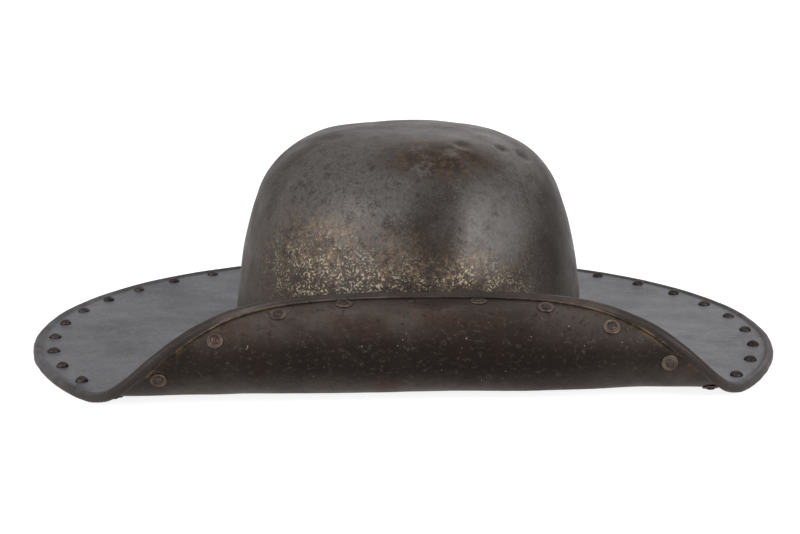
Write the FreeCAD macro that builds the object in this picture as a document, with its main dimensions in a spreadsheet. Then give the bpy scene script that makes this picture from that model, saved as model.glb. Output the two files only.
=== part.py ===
import FreeCAD, Part
import math
import os
import Sketcher

# Kettle hat of hammered iron: an oval skull riveted by its turned-out foot to a wide round brim.
# The brim's border is rolled under over an iron wire, and its front is curled up and back.
# Millimetres, +Z up. The origin is under the middle of the brim, on the plane it rests on.
# The front of the helmet looks along -Y, the wearer's left is +X.

doc = FreeCAD.newDocument("kettle_hat")
sizes = doc.addObject("Spreadsheet::Sheet", "Sizes")

# Driving sizes, each with what it is
SIZE_ROWS = [
    ("brim_radius", 220.0, "middle of the brim to the outside of its rolled border"),
    ("brim_sheet", 1.2, "thickness of the brim's sheet"),
    ("curl_clear", 9.93, "front of the brim's opening to where the brim starts to curl up"),
    ("curl_turn", 168.0, "full turn of the curl in degrees"),
    ("curl_land", 9.6, "length of sheet past the full turn of the curl, out to the border"),
    ("wire_diameter", 2.4, "iron wire in the rolled border"),
    ("wire_play", 0.1, "room all round the wire in its roll"),
    ("roll_rise", 0.5, "how far the roll stands up above the sheet"),
    ("roll_run", 2.9, "length of the rise from the sheet to the top of the roll"),
    ("roll_flat", 1.6, "width of the flat hammered under the roll"),
    ("hem_width", 6.2, "outside of the border to the cut edge of the turned-under sheet"),
    ("hem_lap", 1.0, "length of the turned-under strip that lies along the sheet"),
    ("hem_gap", 0.2, "gap between the turned-under strip and the sheet"),
    ("skull_half_width", 105.2, "half of the skull's width outside at its foot"),
    ("skull_oval", 1.06, "length of the skull over its width"),
    ("skull_side_shift", 3.0, "the skull stands this far to +X of the brim's middle"),
    ("skull_back_shift", 3.0, "the skull stands this far behind the brim's middle"),
    ("skull_sheet", 1.5, "thickness of the skull's wall"),
    ("skull_height", 125.5, "foot to the top of the crown"),
    ("wall_lean", 6.7, "lean of the straight part of the wall in degrees"),
    ("wall_height", 42.5, "height of the straight part of the wall"),
    ("side_radius", 172.0, "curve of the side above the straight wall"),
    ("shoulder_radius", 57.0, "curve between the side and the crown"),
    ("crown_radius", 273.0, "curve of the flattened crown"),
    ("foot_bend", 3.0, "bend between the wall and the turned-out foot"),
    ("foot_width", 10.5, "width of the turned-out foot beyond the wall"),
    ("opening_margin", 1.0, "the brim's opening is this much wider than the skull inside"),
    ("rivet_head", 6.6, "width of the domed heads of the border rivets"),
    ("rivet_rise", 2.3, "height of the domed heads of the border rivets"),
    ("rivet_shank", 2.8, "shank of the border rivets"),
    ("rivet_tail", 4.4, "width of the hammered-over tails of the border rivets"),
    ("tail_rise", 0.8, "height of every hammered-over tail"),
    ("shank_play", 0.05, "room all round a shank in its hole"),
    ("border_inset", 12.0, "outside of the border to the row of border rivets"),
    ("washer_width", 9.0, "border washers"),
    ("washer_sheet", 0.7, "thickness of every washer"),
    ("front_rivet_angle", 268.7, "place of the front rivet, in degrees from +X towards +Y"),
    ("side_pitch", 9.73, "pitch of the rivets over the front and the +X side"),
    ("far_pitch", 9.31, "pitch of the rivets over the -X side"),
    ("foot_head", 6.0, "width of the domed heads of the foot rivets"),
    ("foot_rise", 2.1, "height of the domed heads of the foot rivets"),
    ("foot_shank", 2.8, "shank of the foot rivets"),
    ("foot_tail", 4.2, "width of the hammered-over tails of the foot rivets"),
    ("foot_washer", 8.0, "washers under the leather band"),
    ("foot_inset", 5.0, "edge of the skull's foot to its row of rivets"),
    ("leather", 1.2, "thickness of the leather band"),
    ("band_height", 26.0, "height of the band inside the skull"),
    ("band_gap", 0.3, "gap between the band and the skull's wall"),
    ("cap_gap", 0.3, "gap between the band and the linen cap"),
    ("cap_thickness", 8.0, "thickness of the quilted linen cap"),
    ("cap_rim", 13.0, "height of the cap's lower rim above the foot"),
    ("thread_width", 1.0, "linen thread along the cap's rim"),
    ("thread_gap", 0.1, "gap between the thread and what it lies against"),
    ("chord_play", 0.3, "most that a bowl's straight strips leave its true curve"),
    ("crown_flat", 5.0, "half width of the level spot on top of a bowl"),
]
# Counts, which are whole numbers
COUNT_ROWS = [
    ("side_rivets", 21, "border rivets over the front and the +X side"),
    ("far_rivets", 9, "border rivets over the -X side"),
    ("back_rivets", 7, "border rivets across the back"),
    ("front_place", 6, "place of the front rivet in the row that starts at the -X side"),
    ("foot_rivets", 20, "rivets through the skull's foot"),
    ("small_sides", 10, "flat sides round each rivet, washer and hole"),
]
for row, (word, value, note) in enumerate(SIZE_ROWS + COUNT_ROWS, start=1):
    sizes.set("A%d" % row, note)
    sizes.set("B%d" % row, str(value))
    sizes.setAlias("B%d" % row, word)
doc.recompute()


def size(word):
    return float(sizes.get(word))


def count(word):
    return int(round(float(sizes.get(word))))


def value_of(formula):
    # a formula on the sheet, worked out now
    return float(sizes.evalExpression(formula))


# Levels that the pieces share, worked out on the sheet
DERIVED_ROWS = [
    ("roll_bore", "=wire_diameter / 2 + wire_play", "radius inside the roll"),
    ("roll_radius", "=roll_bore + brim_sheet", "radius outside the roll"),
    ("roll_drop", "=roll_radius - brim_sheet / 2 - roll_rise", "middle of the sheet to the roll's centre"),
    ("flat_depth", "=sqrt(roll_radius ^ 2 - (roll_flat / 2) ^ 2)", "roll's centre to the flat under it"),
    ("sheet_level", "=roll_drop + flat_depth", "height of the middle of the brim's sheet"),
    ("seat_level", "=sheet_level + brim_sheet / 2", "height of the brim's upper face"),
    ("under_level", "=sheet_level - brim_sheet / 2", "height of the brim's lower face"),
    ("band_level", "=under_level - leather", "height of the band's lower face"),
    ("wall_shift", "=skull_sheet / cos(wall_lean * 1 deg)", "wall thickness measured level"),
    ("opening_radius", "=skull_half_width - wall_shift + opening_margin", "half width of the brim's opening"),
    ("opening_front", "=opening_radius * skull_oval - skull_back_shift", "front of the brim's opening"),
    ("curl_start", "=opening_front + curl_clear", "how far forward the brim starts to curl up"),
    ("curl_end", "=brim_radius - curl_land", "how far forward along the sheet the curl has its full turn"),
]
for row, (word, formula, note) in enumerate(DERIVED_ROWS, start=len(SIZE_ROWS) + len(COUNT_ROWS) + 1):
    sizes.set("A%d" % row, note)
    sizes.set("B%d" % row, formula)
    sizes.setAlias("B%d" % row, word)
doc.recompute()


def plane_of(body, role):
    return [feature for feature in body.Origin.OriginFeatures if feature.Role == role][0]


def new_sketch(body, name):
    sketch = body.newObject("Sketcher::SketchObject", name)
    sketch.AttachmentSupport = (plane_of(body, "XZ_Plane"), "")
    sketch.MapMode = "FlatFace"
    return sketch


def bind(sketch, kind, places, word, formula, value):
    # a named dimension of the sketch, tied to the sheet
    sketch.addConstraint(Sketcher.Constraint(kind, *places, value))
    sketch.renameConstraint(sketch.ConstraintCount - 1, word)
    sketch.setExpression("Constraints." + word, formula)


def revolve(body, sketch):
    turned = body.newObject("PartDesign::Revolution", body.Name + "Turned")
    turned.Profile = sketch
    turned.ReferenceAxis = (sketch, ["V_Axis"])
    turned.Angle = 360.0
    body.Tip = turned
    return turned


def oval(body, node, level):
    # the raised round form is drawn out lengthways, then set on the brim
    piece = doc.addObject("Part::Scale", node)
    piece.Label = node
    piece.Base = body
    piece.Uniform = False
    piece.setExpression("YScale", "Sizes.skull_oval")
    piece.setExpression("Placement.Base.x", "Sizes.skull_side_shift")
    piece.setExpression("Placement.Base.y", "Sizes.skull_back_shift")
    piece.setExpression("Placement.Base.z", "Sizes." + level)
    return piece


def section_rows(sketch):
    # places round a bowl's section, from the top of its crown outside to the top inside
    doc.recompute()
    edges = [edge for edge in sketch.Shape.Edges if edge.BoundBox.XMax > 0.01]
    top = max(vertex.Point.z for vertex in sketch.Shape.Vertexes)
    place = FreeCAD.Vector(0, 0, top)
    rows = [place]
    while edges:
        edge = min(edges, key=lambda one: min((end.Point - place).Length for end in one.Vertexes))
        edges.remove(edge)
        chords = 1
        if isinstance(edge.Curve, Part.Circle):
            radius = edge.Curve.Radius
            chord_turn = 2 * math.acos(1 - size("chord_play") / radius)
            chords = max(2, math.ceil(edge.Length / radius / chord_turn))
        run = edge.discretize(Number=chords + 1)
        if (run[-1] - place).Length < (run[0] - place).Length:
            run.reverse()
        rows += run[1:]
        place = run[-1]
    for end in (0, -1):
        rows[end] = FreeCAD.Vector(size("crown_flat"), 0, rows[end].z)
    return rows


def oval_bowl(node, sketch, level):
    # A bowl drawn out lengthways, of straight strips between the ovals round its section.
    # Where two ovals lie level, the strip between them is a flat ring.
    middle = FreeCAD.Vector(size("skull_side_shift"), size("skull_back_shift"), size(level))
    ovals = []
    for row in section_rows(sketch):
        centre = middle + FreeCAD.Vector(0, 0, row.z)
        ovals.append(Part.Ellipse(
            centre + FreeCAD.Vector(0, row.x * size("skull_oval"), 0),
            centre + FreeCAD.Vector(row.x, 0, 0), centre).toShape())
    faces = [Part.Face(Part.Wire([end])) for end in (ovals[0], ovals[-1])]
    for first, second in zip(ovals, ovals[1:]):
        if abs(first.Curve.Center.z - second.Curve.Center.z) < 1e-6:
            wide, narrow = sorted((first, second), key=lambda one: -one.Length)
            faces.append(Part.Face(Part.Wire([wide])).cut(Part.Face(Part.Wire([narrow]))).Faces[0])
        else:
            faces.append(Part.makeRuledSurface(first, second))
    shell = Part.makeShell(faces)
    shell.sewShape()
    return plain_group(node, [Part.makeSolid(shell)])


def bowl_centres(foot_radius, lean, wall_top, side, shoulder, crown, height):
    # centres of the side, shoulder and crown arcs, each tangent to the next
    wall_end = FreeCAD.Vector(foot_radius - wall_top * math.tan(lean), wall_top, 0)
    side_centre = wall_end - FreeCAD.Vector(math.cos(lean), math.sin(lean), 0) * side
    crown_centre = FreeCAD.Vector(0, height - crown, 0)
    reach_side = side - shoulder
    reach_crown = crown - shoulder
    between = crown_centre - side_centre
    span = between.Length
    along = (reach_side ** 2 - reach_crown ** 2 + span ** 2) / (2 * span)
    aside = math.sqrt(max(reach_side ** 2 - along ** 2, 0))
    way = between / span
    across = FreeCAD.Vector(way.y, -way.x, 0)
    first = side_centre + way * along + across * aside
    second = side_centre + way * along - across * aside
    shoulder_centre = first if first.y > second.y else second
    return wall_end, side_centre, shoulder_centre, crown_centre


def angle_of(vector):
    return math.atan2(vector.y, vector.x)


def arc(centre, radius, start, end):
    circle = Part.Circle(centre, FreeCAD.Vector(0, 0, 1), radius)
    return Part.ArcOfCircle(circle, start, end)


def bowl_sketch(body, inset, thickness, turned_out):
    # Section of a bowl: a leaning wall, then side, shoulder and crown arcs, outside and inside.
    # inset and thickness are formulas on the sheet; inset is measured in from the skull's outside.
    depth = value_of(inset)
    wall = value_of(thickness)
    lean = math.radians(size("wall_lean"))
    outward = FreeCAD.Vector(math.cos(lean), math.sin(lean), 0)
    wall_end, side_centre, shoulder_centre, crown_centre = bowl_centres(
        size("skull_half_width"), lean, size("wall_height"), size("side_radius"),
        size("shoulder_radius"), size("crown_radius"), size("skull_height"))
    side_end = angle_of(shoulder_centre - side_centre)
    shoulder_end = angle_of(shoulder_centre - crown_centre)
    sketch = new_sketch(body, body.Name + "Section")

    def chain(offset, level):
        # foot of the wall at a given level, up to the axis
        end = wall_end - outward * offset
        start = end + FreeCAD.Vector((end.y - level) * math.tan(lean), level - end.y, 0)
        return [
            Part.LineSegment(start, end),
            arc(side_centre, size("side_radius") - offset, lean, side_end),
            arc(shoulder_centre, size("shoulder_radius") - offset, side_end, shoulder_end),
            arc(crown_centre, size("crown_radius") - offset, shoulder_end, math.pi / 2),
        ]

    rim = 0.0 if turned_out else size("cap_rim")
    outer = [sketch.addGeometry(edge, False) for edge in chain(depth, rim)]
    inner = [sketch.addGeometry(edge, False) for edge in chain(depth + wall, rim)]
    wall_out, side_out, shoulder_out, crown_out = outer
    wall_in, side_in, shoulder_in, crown_in = inner
    top = size("skull_height") - depth
    axis = sketch.addGeometry(
        Part.LineSegment(FreeCAD.Vector(0, top, 0), FreeCAD.Vector(0, top - wall, 0)), False)
    START, END, CENTRE = 1, 2, 3
    LEVEL_AXIS, UP_AXIS, ORIGIN = -1, -2, -1
    for lower, upper in zip(outer + inner, outer[1:] + [None] + inner[1:] + [None]):
        if upper is not None:
            sketch.addConstraint(Sketcher.Constraint("Tangent", lower, END, upper, START))
    for far, near in zip(outer[1:], inner[1:]):
        sketch.addConstraint(Sketcher.Constraint("Coincident", far, CENTRE, near, CENTRE))
    sketch.addConstraint(Sketcher.Constraint("Coincident", crown_out, END, axis, START))
    sketch.addConstraint(Sketcher.Constraint("Coincident", crown_in, END, axis, END))
    sketch.addConstraint(Sketcher.Constraint("PointOnObject", crown_out, CENTRE, UP_AXIS))
    sketch.addConstraint(Sketcher.Constraint("PointOnObject", axis, START, UP_AXIS))
    sketch.addConstraint(Sketcher.Constraint("PointOnObject", axis, END, UP_AXIS))
    foot_radius = size("skull_half_width") - depth / math.cos(lean)
    foot = sketch.addGeometry(Part.Point(FreeCAD.Vector(foot_radius, 0, 0)), True)
    sketch.addConstraint(Sketcher.Constraint("PointOnObject", foot, START, LEVEL_AXIS))
    sketch.addConstraint(Sketcher.Constraint("PointOnObject", foot, START, wall_out))
    bind(sketch, "DistanceX", (ORIGIN, START, foot, START), "foot_radius",
         "Sizes.skull_half_width - (%s) / cos(Sizes.wall_lean * 1 deg)" % inset, foot_radius)
    bind(sketch, "Angle", (wall_out,), "lean", "(90 + Sizes.wall_lean) * 1 deg", math.pi / 2 + lean)
    bind(sketch, "DistanceY", (ORIGIN, START, wall_out, END), "wall_top",
         "Sizes.wall_height - (%s) * sin(Sizes.wall_lean * 1 deg)" % inset,
         size("wall_height") - depth * math.sin(lean))
    for edge, word in ((side_out, "side_radius"), (shoulder_out, "shoulder_radius"),
                       (crown_out, "crown_radius")):
        bind(sketch, "Radius", (edge,), word, "Sizes.%s - (%s)" % (word, inset), size(word) - depth)
    bind(sketch, "DistanceY", (ORIGIN, START, axis, START), "top",
         "Sizes.skull_height - (%s)" % inset, top)
    bind(sketch, "DistanceY", (axis, END, axis, START), "crown_wall", thickness, wall)

    if turned_out:
        bend = size("foot_bend")
        edge_radius = size("skull_half_width") + size("foot_width")
        centre = FreeCAD.Vector(
            foot_radius + (bend - (wall + bend) * math.sin(lean)) / math.cos(lean), wall + bend, 0)
        low = FreeCAD.Vector(edge_radius, 0, 0)
        high = FreeCAD.Vector(edge_radius, wall, 0)
        lip = sketch.addGeometry(Part.LineSegment(low, high), False)
        foot_top = sketch.addGeometry(
            Part.LineSegment(high, FreeCAD.Vector(centre.x, wall, 0)), False)
        foot_under = sketch.addGeometry(
            Part.LineSegment(FreeCAD.Vector(centre.x, 0, 0), low), False)
        bend_out = sketch.addGeometry(arc(centre, bend, math.pi + lean, math.pi * 1.5), False)
        bend_in = sketch.addGeometry(arc(centre, bend + wall, math.pi + lean, math.pi * 1.5), False)
        sketch.addConstraint(Sketcher.Constraint("Coincident", lip, END, foot_top, START))
        sketch.addConstraint(Sketcher.Constraint("Tangent", foot_top, END, bend_out, END))
        sketch.addConstraint(Sketcher.Constraint("Tangent", bend_out, START, wall_out, START))
        sketch.addConstraint(Sketcher.Constraint("Coincident", bend_out, CENTRE, bend_in, CENTRE))
        sketch.addConstraint(Sketcher.Constraint("Tangent", wall_in, START, bend_in, START))
        sketch.addConstraint(Sketcher.Constraint("Tangent", bend_in, END, foot_under, START))
        sketch.addConstraint(Sketcher.Constraint("Coincident", foot_under, END, lip, START))
        sketch.addConstraint(Sketcher.Constraint("Vertical", lip))
        sketch.addConstraint(Sketcher.Constraint("Horizontal", foot_top))
        sketch.addConstraint(Sketcher.Constraint("Horizontal", foot_under))
        sketch.addConstraint(Sketcher.Constraint("PointOnObject", lip, START, LEVEL_AXIS))
        bind(sketch, "DistanceX", (ORIGIN, START, lip, START), "foot_edge",
             "Sizes.skull_half_width + Sizes.foot_width", edge_radius)
        bind(sketch, "DistanceY", (lip, START, lip, END), "foot_sheet", thickness, wall)
        bind(sketch, "Radius", (bend_out,), "foot_bend", "Sizes.foot_bend", bend)
    else:
        low_out = sketch.getPoint(wall_out, START)
        low_in = sketch.getPoint(wall_in, START)
        rim_edge = sketch.addGeometry(Part.LineSegment(low_in, low_out), False)
        sketch.addConstraint(Sketcher.Constraint("Coincident", rim_edge, START, wall_in, START))
        sketch.addConstraint(Sketcher.Constraint("Coincident", rim_edge, END, wall_out, START))
        sketch.addConstraint(Sketcher.Constraint("Horizontal", rim_edge))
        sketch.addConstraint(Sketcher.Constraint("Parallel", wall_in, wall_out))
        bind(sketch, "DistanceY", (ORIGIN, START, rim_edge, START), "rim", "Sizes.cap_rim", rim)
    return sketch


def flat_sided(outline):
    # small form with flat sides round the Z axis, from (radius, level) pairs, top to bottom
    sides = count("small_sides")
    rings = [[FreeCAD.Vector(radius * math.cos(2 * math.pi * side / sides),
                             radius * math.sin(2 * math.pi * side / sides), level)
              for side in range(sides + 1)] for radius, level in outline]
    faces = [Part.Face(Part.makePolygon(rings[0])), Part.Face(Part.makePolygon(rings[-1]))]
    for upper, lower in zip(rings, rings[1:]):
        for side in range(sides):
            faces.append(Part.Face(Part.makePolygon(
                [upper[side], upper[side + 1], lower[side + 1], lower[side], upper[side]])))
    shell = Part.makeShell(faces)
    shell.sewShape()
    return Part.makeSolid(shell)


def foot_pins(radius, low, high):
    # pins where the foot rivets go, round the oval foot
    ring = size("skull_half_width") + size("foot_width") - size("foot_inset")
    pins = []
    for number in range(count("foot_rivets")):
        x, y = on_oval(ring, (number + 0.5) * 360.0 / count("foot_rivets"))
        pin = flat_sided([(radius, high), (radius, low)])
        pins.append(pin.translated(FreeCAD.Vector(x, y, 0)))
    return pins


def on_oval(radius, angle):
    turn = math.radians(angle)
    x = size("skull_side_shift") + radius * math.cos(turn)
    y = size("skull_back_shift") + size("skull_oval") * radius * math.sin(turn)
    return x, y


def plain_group(node, solids):
    # a set of solids that no feature makes, kept in one object
    piece = doc.addObject("Part::Feature", node)
    piece.Label = node
    piece.Shape = Part.makeCompound(solids)
    return piece


def pierced(node, blank, pins):
    piece = doc.addObject("Part::Cut", node)
    piece.Label = node
    piece.Base = blank
    piece.Tool = pins
    return piece


# Skull: raised in one sheet, its foot turned out to lie on the brim
skull_round = doc.addObject("PartDesign::Body", "SkullRound")
skull_section = bowl_sketch(skull_round, "0", "Sizes.skull_sheet", True)
skull_oval = oval_bowl("SkullOval", skull_section, "seat_level")
foot_hole_radius = size("foot_shank") / 2 + size("shank_play")
foot_top_level = size("seat_level") + size("skull_sheet")
foot_low_level = size("band_level") - size("washer_sheet")
foot_holes = plain_group(
    "FootHoles",
    foot_pins(foot_hole_radius, foot_low_level - size("tail_rise"), foot_top_level + size("foot_rise")))
skull = pierced("skull", skull_oval, foot_holes)

# Lining cap: quilted linen, hung inside the skull from the leather band
cap_round = doc.addObject("PartDesign::Body", "CapRound")
CAP_INSET = "Sizes.skull_sheet + Sizes.band_gap + Sizes.leather + Sizes.cap_gap"
cap_section = bowl_sketch(cap_round, CAP_INSET, "Sizes.cap_thickness", False)
lining_cap = oval_bowl("lining_cap", cap_section, "seat_level")


def band_sketch(body):
    # Section of the leather band: a foot under the brim and a strip up inside the wall.
    # Its zero level is the brim's lower face.
    lean = math.radians(size("wall_lean"))
    reach = size("skull_half_width")
    inset = size("skull_sheet") + size("band_gap")
    leather = size("leather")
    at_brim = reach - inset / math.cos(lean) + size("brim_sheet") * math.tan(lean)
    top = size("brim_sheet") + size("band_height")
    edge = reach + size("foot_width")
    level_leather = leather / math.cos(lean)
    corners = [
        FreeCAD.Vector(edge, 0, 0),
        FreeCAD.Vector(at_brim, 0, 0),
        FreeCAD.Vector(at_brim - top * math.tan(lean), top, 0),
        FreeCAD.Vector(at_brim - top * math.tan(lean) - level_leather, top, 0),
        FreeCAD.Vector(at_brim + leather * math.tan(lean) - level_leather, -leather, 0),
        FreeCAD.Vector(edge, -leather, 0),
    ]
    sketch = new_sketch(body, body.Name + "Section")
    edges = [sketch.addGeometry(Part.LineSegment(start, end), False)
             for start, end in zip(corners, corners[1:] + corners[:1])]
    foot_top, strip_out, strip_top, strip_in, foot_under, foot_end = edges
    START, END, ORIGIN, LEVEL_AXIS = 1, 2, -1, -1
    for first, second in zip(edges, edges[1:] + edges[:1]):
        sketch.addConstraint(Sketcher.Constraint("Coincident", first, END, second, START))
    for level in (foot_top, strip_top, foot_under):
        sketch.addConstraint(Sketcher.Constraint("Horizontal", level))
    sketch.addConstraint(Sketcher.Constraint("Vertical", foot_end))
    sketch.addConstraint(Sketcher.Constraint("Parallel", strip_out, strip_in))
    sketch.addConstraint(Sketcher.Constraint("PointOnObject", foot_top, START, LEVEL_AXIS))
    bind(sketch, "DistanceX", (ORIGIN, START, foot_top, START), "edge",
         "Sizes.skull_half_width + Sizes.foot_width", edge)
    bind(sketch, "DistanceX", (ORIGIN, START, strip_out, START), "at_brim",
         "Sizes.skull_half_width - (Sizes.skull_sheet + Sizes.band_gap) / cos(Sizes.wall_lean * 1 deg)"
         " + Sizes.brim_sheet * tan(Sizes.wall_lean * 1 deg)", at_brim)
    bind(sketch, "Angle", (strip_out,), "lean", "(90 + Sizes.wall_lean) * 1 deg", math.pi / 2 + lean)
    bind(sketch, "DistanceY", (ORIGIN, START, strip_out, END), "top",
         "Sizes.brim_sheet + Sizes.band_height", top)
    bind(sketch, "DistanceX", (strip_top, END, strip_top, START), "strip_leather",
         "Sizes.leather / cos(Sizes.wall_lean * 1 deg)", level_leather)
    bind(sketch, "DistanceY", (foot_end, START, foot_end, END), "foot_leather",
         "Sizes.leather", leather)
    return sketch


# Lining band: leather, riveted under the brim and turned up inside the skull
band_round = doc.addObject("PartDesign::Body", "BandRound")
revolve(band_round, band_sketch(band_round))
band_oval = oval(band_round, "BandOval", "under_level")
lining_band = pierced("lining_band", band_oval, foot_holes)

# Lining thread: linen, laid along the cap's rim where it is sewn to the band
thread_round = doc.addObject("PartDesign::Body", "ThreadRound")
thread_sketch = new_sketch(thread_round, "ThreadSection")
THREAD_INSET = ("Sizes.skull_sheet + Sizes.band_gap + Sizes.leather + Sizes.thread_gap"
                " + Sizes.thread_width / 2")
thread_level = size("cap_rim") - size("thread_gap") - size("thread_width") / 2
thread_lean = math.radians(size("wall_lean"))
thread_radius = (size("skull_half_width") - value_of(THREAD_INSET) / math.cos(thread_lean)
                 - thread_level * math.tan(thread_lean))
thread_low = size("cap_rim") - size("thread_gap") - size("thread_width")
thread_in = thread_radius - size("thread_width") / 2
thread_corners = [
    FreeCAD.Vector(thread_in, thread_low, 0),
    FreeCAD.Vector(thread_in + size("thread_width"), thread_low, 0),
    FreeCAD.Vector(thread_in + size("thread_width"), thread_low + size("thread_width"), 0),
    FreeCAD.Vector(thread_in, thread_low + size("thread_width"), 0),
]
thread_edges = [thread_sketch.addGeometry(Part.LineSegment(start, end), False)
                for start, end in zip(thread_corners, thread_corners[1:] + thread_corners[:1])]
for first, second in zip(thread_edges, thread_edges[1:] + thread_edges[:1]):
    thread_sketch.addConstraint(Sketcher.Constraint("Coincident", first, 2, second, 1))
for place, way in enumerate(("Horizontal", "Vertical", "Horizontal", "Vertical")):
    thread_sketch.addConstraint(Sketcher.Constraint(way, thread_edges[place]))
bind(thread_sketch, "DistanceX", (thread_edges[0], 1, thread_edges[0], 2), "across",
     "Sizes.thread_width", size("thread_width"))
bind(thread_sketch, "DistanceY", (thread_edges[1], 1, thread_edges[1], 2), "up",
     "Sizes.thread_width", size("thread_width"))
bind(thread_sketch, "DistanceY", (-1, 1, thread_edges[0], 1), "low",
     "Sizes.cap_rim - Sizes.thread_gap - Sizes.thread_width", thread_low)
bind(thread_sketch, "DistanceX", (-1, 1, thread_edges[0], 1), "reach",
     "Sizes.skull_half_width - (" + THREAD_INSET + ") / cos(Sizes.wall_lean * 1 deg)"
     " - (Sizes.cap_rim - Sizes.thread_gap - Sizes.thread_width / 2) * tan(Sizes.wall_lean * 1 deg)"
     " - Sizes.thread_width / 2", thread_in)
revolve(thread_round, thread_sketch)
lining_thread = oval(thread_round, "lining_thread", "seat_level")


# Curl of the brim: the sheet is flat, then turns up and back along a smooth step of its angle
def sheet_angle(forward):
    share = (forward - size_of["curl_start"]) / (size_of["curl_end"] - size_of["curl_start"])
    share = min(max(share, 0.0), 1.0)
    return math.radians(size_of["curl_turn"]) * share * share * (3.0 - 2.0 * share)


def sheet_bend(forward):
    # how fast the angle grows along the sheet, one over its radius
    step = 0.5
    return (sheet_angle(forward + step) - sheet_angle(forward - step)) / (2 * step)


# sizes read once, for the formulas that are worked out at many points
size_of = {word: size(word) for word, value, note in SIZE_ROWS + DERIVED_ROWS}
CURL_STEP = 0.5
curl_run = [(size_of["curl_start"], 0.0)]
while len(curl_run) * CURL_STEP < size_of["brim_radius"] - size_of["curl_start"] + 2 * CURL_STEP:
    reach_so_far, rise_so_far = curl_run[-1]
    middle = sheet_angle(size_of["curl_start"] + (len(curl_run) - 0.5) * CURL_STEP)
    curl_run.append((reach_so_far + CURL_STEP * math.cos(middle),
                     rise_so_far + CURL_STEP * math.sin(middle)))


def on_sheet(x, forward, lift):
    # A place on the flat blank, taken to where the curled sheet puts it.
    # lift is measured off the middle of the sheet, towards its upper face.
    reach, rise = forward, 0.0
    if forward > size_of["curl_start"]:
        steps = (forward - size_of["curl_start"]) / CURL_STEP
        whole = int(steps)
        part = steps - whole
        reach = curl_run[whole][0] * (1 - part) + curl_run[whole + 1][0] * part
        rise = curl_run[whole][1] * (1 - part) + curl_run[whole + 1][1] * part
    turn = sheet_angle(forward)
    return FreeCAD.Vector(x, -reach + lift * math.sin(turn),
                          size_of["sheet_level"] + rise + lift * math.cos(turn))


# Section of the rolled border, as places (inset from the outside, lift off the middle of the sheet)
half_sheet = size_of["brim_sheet"] / 2
roll_middle = size_of["roll_radius"] - half_sheet
roll_foot = size_of["roll_radius"] + size_of["roll_run"]
lap_lift = -(size_of["brim_sheet"] + size_of["hem_gap"])
lap_foot = size_of["hem_width"] - size_of["hem_lap"]
flat_half_angle = math.asin(size_of["roll_flat"] / 2 / size_of["roll_radius"])


def rise_line(side, places):
    # from the flat sheet up to the top of the roll
    points = []
    for number in range(places + 1):
        share = number / places
        slope = math.atan(size_of["roll_rise"] * math.pi / 2 / size_of["roll_run"] * math.sin(math.pi * share))
        lift = size_of["roll_rise"] * (1 - math.cos(math.pi * share)) / 2
        points.append((roll_foot - size_of["roll_run"] * share + side * math.sin(slope),
                       lift + side * math.cos(slope)))
    return points


def roll_line(radius, start, end, places):
    # round the roll, by angle from the outside towards the top
    points = []
    for number in range(places + 1):
        angle = start + (end - start) * number / places
        points.append((size_of["roll_radius"] - radius * math.cos(angle),
                       -size_of["roll_drop"] + radius * math.sin(angle)))
    return points


def lap_line(side, places):
    # from under the roll in to the strip that lies along the sheet, one smooth bend each way
    leave = -math.pi / 2 - flat_half_angle
    start = FreeCAD.Vector(*roll_line(roll_middle, leave, leave, 1)[0], 0)
    end = FreeCAD.Vector(lap_foot, lap_lift, 0)
    pull = (end - start).Length / 2
    way = FreeCAD.Vector(-math.sin(leave), -math.cos(leave), 0)
    bend = Part.BezierCurve()
    bend.setPoles([start, start + way * pull, end - FreeCAD.Vector(pull, 0, 0), end])
    points = []
    for number in range(places + 1):
        place = bend.value(number / places)
        along = bend.tangent(number / places)[0]
        points.append((place.x - side * along.y, place.y + side * along.x))
    return points


# Brim blank: one sheet, with its opening, its curl and its border rolled under over the wire.
# Behind a seam line just in front of the opening all is level and the border's edges are true arcs.
# In front of it they are smooth curves, one on each side, that meet at the tip.
opening_radius = size_of["opening_radius"]
seam_forward = (size_of["opening_front"] + size_of["curl_start"]) / 2
plate_radius = size_of["brim_radius"] - roll_foot
seam_turn = math.acos(seam_forward / plate_radius)
FRONT_STEPS = 14


def border_edges(inset, lift):
    # right, left and rear edges, at one inset from the outside and one lift off the sheet
    radius = size_of["brim_radius"] - inset
    edges = []
    for side in (1, -1):
        points = []
        for number in range(FRONT_STEPS + 1):
            turn = seam_turn * (1 - number / FRONT_STEPS)
            points.append(on_sheet(side * radius * math.sin(turn), radius * math.cos(turn), lift))
        pace = radius * seam_turn / FRONT_STEPS
        leaving = FreeCAD.Vector(-side * math.cos(seam_turn), -math.sin(seam_turn), 0) * pace
        arriving = FreeCAD.Vector(-side, 0, 0) * pace
        curve = Part.BSplineCurve()
        curve.interpolate(Points=points, Parameters=[float(n) for n in range(FRONT_STEPS + 1)],
                          InitialTangent=leaving, FinalTangent=arriving, Scale=False)
        edges.append(curve.toShape())
    level = FreeCAD.Vector(0, 0, size_of["sheet_level"] + lift)
    circle = Part.Circle(level, FreeCAD.Vector(0, 0, 1), radius)
    edges.append(Part.ArcOfCircle(circle, seam_turn - math.pi / 2, 1.5 * math.pi - seam_turn).toShape())
    return edges


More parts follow.
